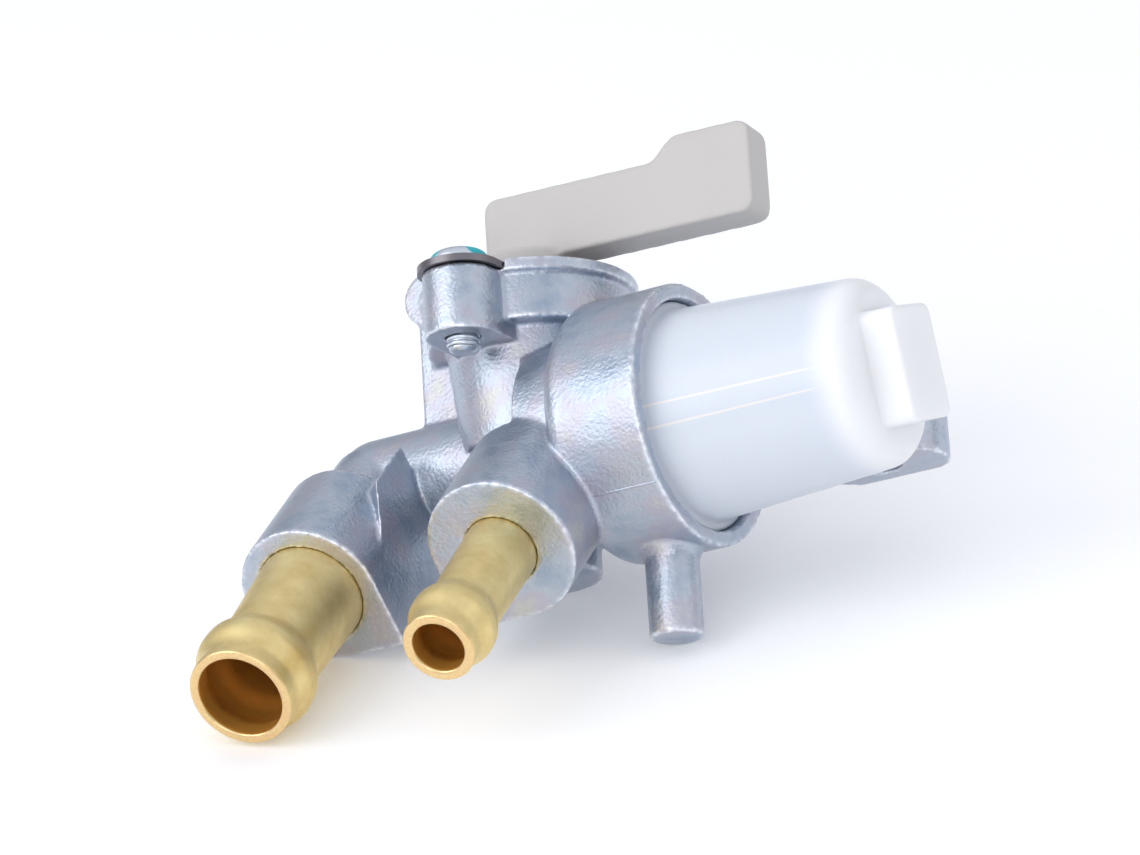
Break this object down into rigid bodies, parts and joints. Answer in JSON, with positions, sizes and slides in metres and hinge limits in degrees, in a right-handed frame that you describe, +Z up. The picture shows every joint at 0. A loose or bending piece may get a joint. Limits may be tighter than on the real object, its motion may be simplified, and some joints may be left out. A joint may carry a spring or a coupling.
{
  "type": "fuel tap",
  "caption": "Die-cast fuel tap with brass hose spigots, a screw-in sediment bowl with strainer and a turning lever.",
  "frame": {"origin": "centre of the mounting ear's hole, on the ear's seat at the back", "axes": "+Z up along the bowl's axis, with the bowl hanging down; -Y to the front, along the lever's spindle and the mounting hole; the hoses leave at the back left"},
  "size_m": [0.0565, 0.0682, 0.0786],
  "materials": {
    "zinc_casting": "die-cast zinc alloy, passivated, satin",
    "drawn_brass": "drawn tube, satin",
    "bowl_plastic": "natural milky plastic, moulded",
    "seal_rubber": "moulded nitrile rubber",
    "strainer_plastic": "moulded",
    "strainer_mesh": "woven nylon gauze",
    "spring_steel": "rolled",
    "plate_steel": "stamped, zinc plated",
    "screw_steel": "zinc plated",
    "lever_plastic": "moulded, warm light grey"
  },
  "bodies": {
    "body": {"tap_casting": "zinc_casting", "inlet_spigot": "drawn_brass", "outlet_spigot": "drawn_brass", "sediment_bowl": "bowl_plastic", "bowl_seal": "seal_rubber", "strainer_cage": "strainer_plastic", "strainer_gauze": "strainer_mesh", "port_packing": "seal_rubber", "wave_washer": "spring_steel", "setting_plate": "plate_steel", "plate_screws": "screw_steel"},
    "lever": {"tap_lever": "lever_plastic"}
  },
  "joints": [
    {"name": "lever_turn", "type": "hinge", "parent": "body", "child": "lever", "pos_m": [-0.0164, -0.0244, 0.0344], "axis": [0, -1, 0], "range_deg": [-4.2, 85.8]}
  ]
}
